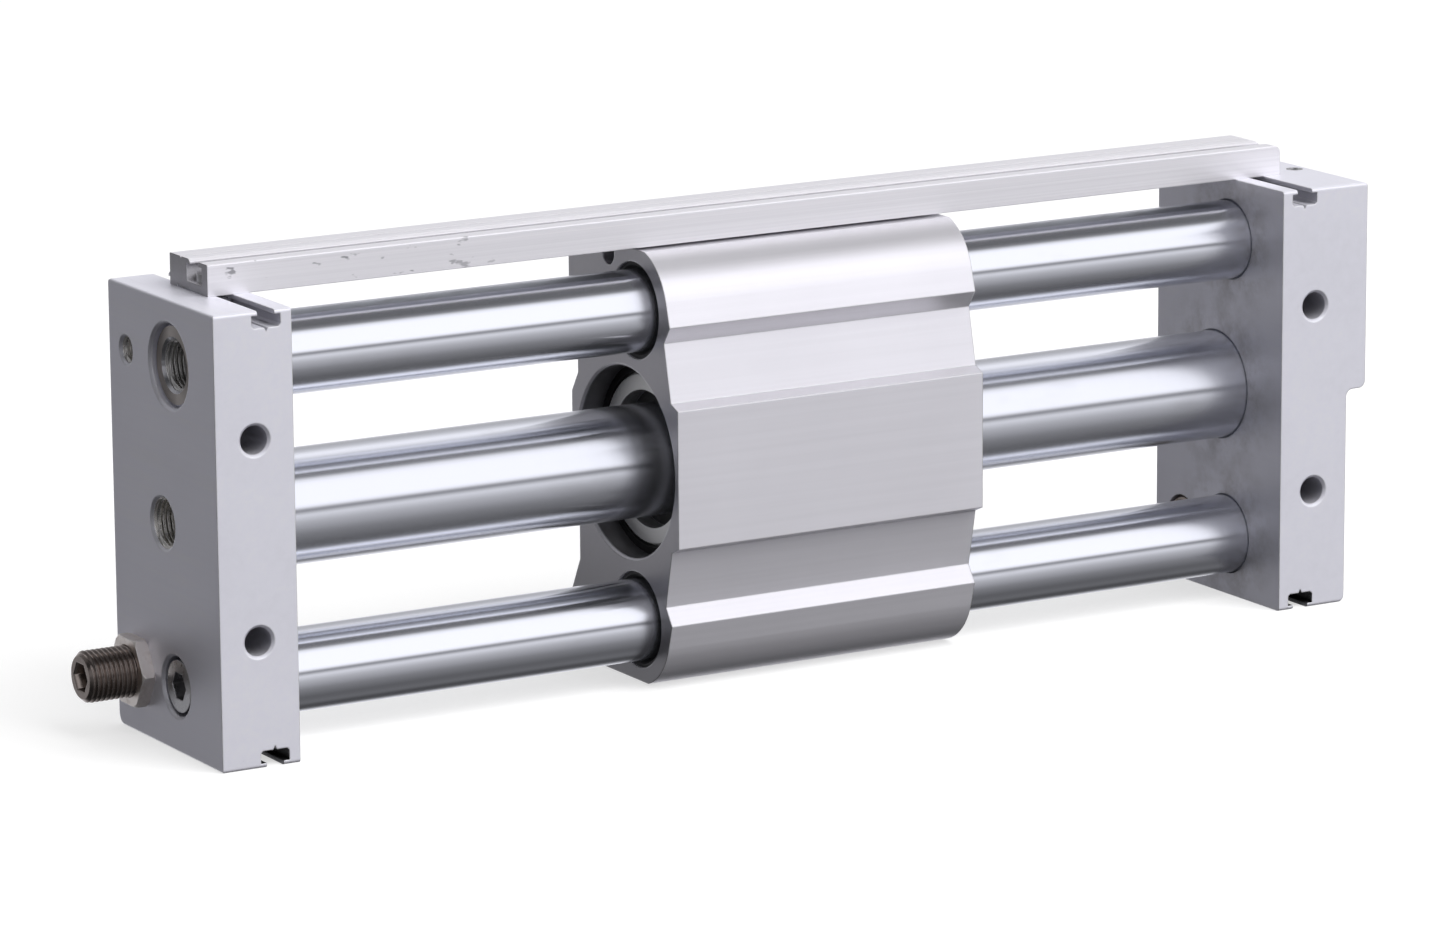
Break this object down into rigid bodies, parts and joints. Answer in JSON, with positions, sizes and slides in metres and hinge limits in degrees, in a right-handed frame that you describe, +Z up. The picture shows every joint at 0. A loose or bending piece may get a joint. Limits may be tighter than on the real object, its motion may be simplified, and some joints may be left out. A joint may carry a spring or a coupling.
{
  "type": "magnetic rodless cylinder",
  "caption": "Guided magnetic rodless cylinder: a slide block rides on two rods and is pulled along a sealed tube by a piston inside it.",
  "frame": {"origin": "under the middle of the stroke, midway between the mounting side and the load side, on the plane that the end plates stand on", "axes": "+X along the stroke from the port plate to the return plate, +Y from the mounting face to the load face, +Z up towards the sensor rail"},
  "size_m": [0.278, 0.0446, 0.092],
  "materials": {
    "anodised_plate": "clear anodised, fine satin",
    "anodised_block": "clear anodised, satin extrusion",
    "milled_rail": "bright extruded, drawn lines along the length",
    "turned_aluminium": "fine turned",
    "hard_chrome": "ground and hard chromed",
    "stainless_tube": "polished drawn stainless",
    "nickel_plate": "bright nickel plate",
    "zinc_screw": "bright zinc plate",
    "blackened_steel": "phosphated",
    "shield_steel": "cold rolled, oiled",
    "magnet": "nickel plated sintered magnet",
    "seal_rubber": "matt nitrile",
    "bearing_resin": "filled bearing resin",
    "urethane": "cast urethane"
  },
  "bodies": {
    "frame": {"port_plate": "anodised_plate", "return_plate": "anodised_plate", "passage_plug": "zinc_screw", "cylinder_tube": "stainless_tube", "hollow_guide_rod": "hard_chrome", "solid_guide_rod": "hard_chrome", "rod_screws": "zinc_screw", "tube_gaskets": "seal_rubber", "rod_gaskets": "seal_rubber", "lock_nuts": "nickel_plate", "sensor_rail": "milled_rail", "shield_strip": "shield_steel", "rail_screws": "zinc_screw", "rail_nuts": "zinc_screw"},
    "slider": {"slide_block": "anodised_block", "coupling_sleeve": "turned_aluminium", "retaining_rings": "blackened_steel", "slider_magnets": "magnet", "slider_yokes": "shield_steel", "end_spacers": "turned_aluminium", "tube_scrapers": "seal_rubber", "slider_wear_rings": "bearing_resin", "rod_bushes": "bearing_resin", "rod_scrapers": "seal_rubber", "switch_magnet": "magnet"},
    "piston": {"piston_shaft": "zinc_screw", "piston_magnets": "magnet", "piston_yokes": "shield_steel", "pistons": "turned_aluminium", "piston_seals": "seal_rubber", "piston_guide_rings": "bearing_resin", "piston_nuts": "zinc_screw", "end_dampers": "urethane"},
    "left_stop_pad": {"left_stop_pad": "urethane"},
    "left_stop": {"left_stop_bolt": "nickel_plate"},
    "right_stop_pad": {"right_stop_pad": "urethane"},
    "right_stop": {"right_stop_bolt": "nickel_plate"}
  },
  "joints": [
    {"name": "slider_travel", "type": "slide", "parent": "frame", "child": "slider", "axis": [1, 0, 0], "range_m": [-0.08175, 0.06825]},
    {"name": "piston_travel", "type": "slide", "parent": "frame", "child": "piston", "axis": [1, 0, 0], "range_m": [-0.08175, 0.06825]},
    {"name": "left_stop_travel", "type": "slide", "parent": "frame", "child": "left_stop_pad", "axis": [-1, 0, 0], "range_m": [0, 0.005]},
    {"name": "left_stop_turn", "type": "hinge", "parent": "left_stop_pad", "child": "left_stop", "pos_m": [-0.12675, 0.01255, 0.0125], "axis": [-1, 0, 0], "range_deg": [0, 1800]},
    {"name": "right_stop_travel", "type": "slide", "parent": "frame", "child": "right_stop_pad", "axis": [1, 0, 0], "range_m": [0, 0.005]},
    {"name": "right_stop_turn", "type": "hinge", "parent": "right_stop_pad", "child": "right_stop", "pos_m": [0.12675, 0.01255, 0.0125], "axis": [1, 0, 0], "range_deg": [0, 1800]}
  ],
  "couplings": [
    {"joint": "piston_travel", "follows": "slider_travel", "ratio": 1},
    {"joint": "left_stop_travel", "follows": "left_stop_turn", "m_per_rad": 0.00015915},
    {"joint": "right_stop_travel", "follows": "right_stop_turn", "m_per_rad": 0.00015915}
  ]
}
